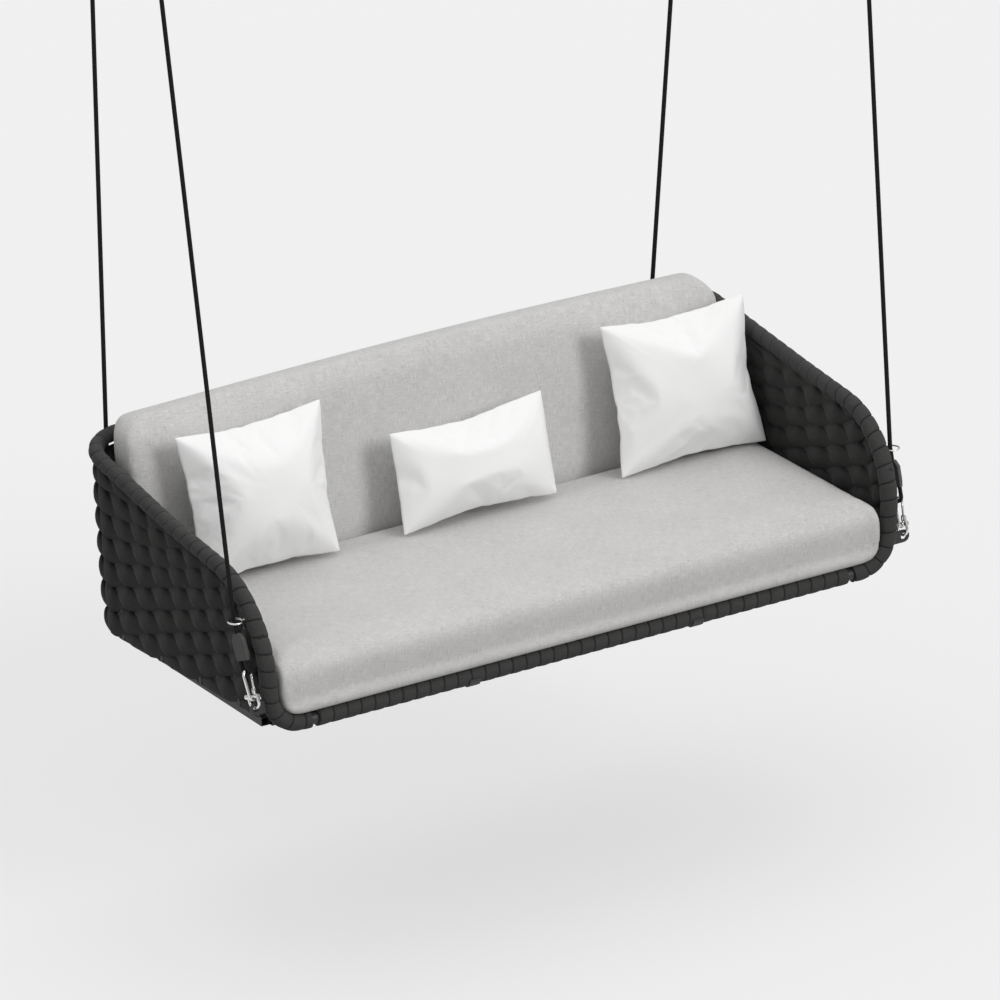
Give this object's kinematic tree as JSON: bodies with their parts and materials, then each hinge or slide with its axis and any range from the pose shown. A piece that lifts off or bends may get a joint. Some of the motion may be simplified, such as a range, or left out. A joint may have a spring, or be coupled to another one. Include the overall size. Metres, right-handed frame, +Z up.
{
  "type": "porch swing",
  "caption": "Hanging garden sofa: woven strap shell on a bent tube frame with seat and back cushions and loose pillows, hung from ceiling eyes on ropes with snap hooks and shackles.",
  "frame": {"origin": "middle of the four ceiling plates, in the plane of the ceiling that they are screwed to", "axes": "+X to the right seen from the front, +Y from the front of the seat to its back, +Z up"},
  "size_m": [2.22, 1.0065, 2.1624],
  "materials": {
    "frame_paint": "satin dark grey powder coat",
    "rail_wrap": "charcoal woven textile strip, wound, matt",
    "stake_paint": "matt near-black powder coat",
    "weave": "near-black padded woven textile belt, matt",
    "webbing": "black woven strap",
    "rope": "black braided rope",
    "rope_sleeve": "dark grey leather, stitched",
    "bright_hardware": "polished steel",
    "ceiling_metal": "satin dark grey powder coat",
    "seat_fabric": "light grey heather linen weave",
    "back_fabric": "light grey heather linen weave",
    "pillow_fabric": "white plain cotton"
  },
  "bodies": {
    "ceiling": {"ceiling_plates": "ceiling_metal", "ceiling_eyes": "ceiling_metal"},
    "front_ropes": {"rope_front_left": "rope", "rope_front_right": "rope", "top_loops_front": "rope", "top_sleeves_front": "rope_sleeve"},
    "rear_ropes": {"rope_rear_left": "rope", "rope_rear_right": "rope", "top_loops_rear": "rope", "top_sleeves_rear": "rope_sleeve"},
    "gate_front_left": {"snap_gate_front_left": "bright_hardware"},
    "gate_front_right": {"snap_gate_front_right": "bright_hardware"},
    "gate_rear_left": {"snap_gate_rear_left": "bright_hardware"},
    "gate_rear_right": {"snap_gate_rear_right": "bright_hardware"},
    "sofa": {"arm_tube_left": "frame_paint", "arm_tube_right": "frame_paint", "arm_wrap_left": "rail_wrap", "arm_wrap_right": "rail_wrap", "back_cushion": "back_fabric", "back_rail_tube": "frame_paint", "back_rail_wrap": "rail_wrap", "base_end_bars": "frame_paint", "base_rail_left": "frame_paint", "base_rail_right": "frame_paint", "belt_row_1": "weave", "belt_row_2": "weave", "belt_row_3": "weave", "belt_row_4": "weave", "belt_row_5": "weave", "belt_row_6": "weave", "belt_row_7": "weave", "belt_short_left": "weave", "belt_short_right": "weave", "cross_bars": "frame_paint", "front_rail_tube": "frame_paint", "front_rail_wrap": "rail_wrap", "gate_pins": "bright_hardware", "guide_rings": "bright_hardware", "lugs": "frame_paint", "pillow_left": "pillow_fabric", "pillow_middle": "pillow_fabric", "pillow_right": "pillow_fabric", "rail_clamps": "frame_paint", "rail_spigots": "frame_paint", "rope_loops": "rope", "rope_sleeves": "rope_sleeve", "rope_tail_front_left": "rope", "rope_tail_front_right": "rope", "rope_tail_rear_left": "rope", "rope_tail_rear_right": "rope", "seat_cushion": "seat_fabric", "seat_webbing": "webbing", "shackle_bows": "bright_hardware", "shackle_pins": "bright_hardware", "snap_hooks": "bright_hardware", "stakes_back": "stake_paint", "stakes_left": "stake_paint", "stakes_right": "stake_paint"}
  },
  "joints": [
    {"name": "front_rope_swing", "type": "hinge", "parent": "ceiling", "child": "front_ropes", "pos_m": [0, -0.2895, -0.045], "axis": [1, 0, 0], "range_deg": [-10, 10]},
    {"name": "seat_swing", "type": "hinge", "parent": "front_ropes", "child": "sofa", "pos_m": [0, -0.4517, -1.843], "axis": [1, 0, 0], "range_deg": [-7, 7]},
    {"name": "rear_rope_swing", "type": "hinge", "parent": "ceiling", "child": "rear_ropes", "pos_m": [0, 0.2895, -0.045], "axis": [1, 0, 0], "range_deg": [-11, 11]},
    {"name": "gate_front_left_press", "type": "hinge", "parent": "sofa", "child": "gate_front_left", "pos_m": [-0.97791, -0.50664, -2.01921], "axis": [0.2909, -0.9035, 0.3148], "range_deg": [0, 25], "stiffness_Nm_per_rad": 0.2, "springref_deg": -5.73},
    {"name": "gate_front_right_press", "type": "hinge", "parent": "sofa", "child": "gate_front_right", "pos_m": [0.99882, -0.50667, -2.02034], "axis": [0.3204, -0.9044, 0.2818], "range_deg": [0, 25], "stiffness_Nm_per_rad": 0.2, "springref_deg": -5.73},
    {"name": "gate_rear_left_press", "type": "hinge", "parent": "sofa", "child": "gate_rear_left", "pos_m": [-0.82548, 0.43666, -2.11178], "axis": [0.2924, -0.9561, 0.0193], "range_deg": [0, 25], "stiffness_Nm_per_rad": 0.2, "springref_deg": -5.73},
    {"name": "gate_rear_right_press", "type": "hinge", "parent": "sofa", "child": "gate_rear_right", "pos_m": [0.84652, 0.43666, -2.11178], "axis": [0.2924, -0.9561, 0.0193], "range_deg": [0, 25], "stiffness_Nm_per_rad": 0.2, "springref_deg": -5.73}
  ],
  "couplings": [
    {"joint": "seat_swing", "follows": "front_rope_swing", "ratio": -0.6259},
    {"joint": "rear_rope_swing", "follows": "front_rope_swing", "ratio": 1.0699}
  ]
}
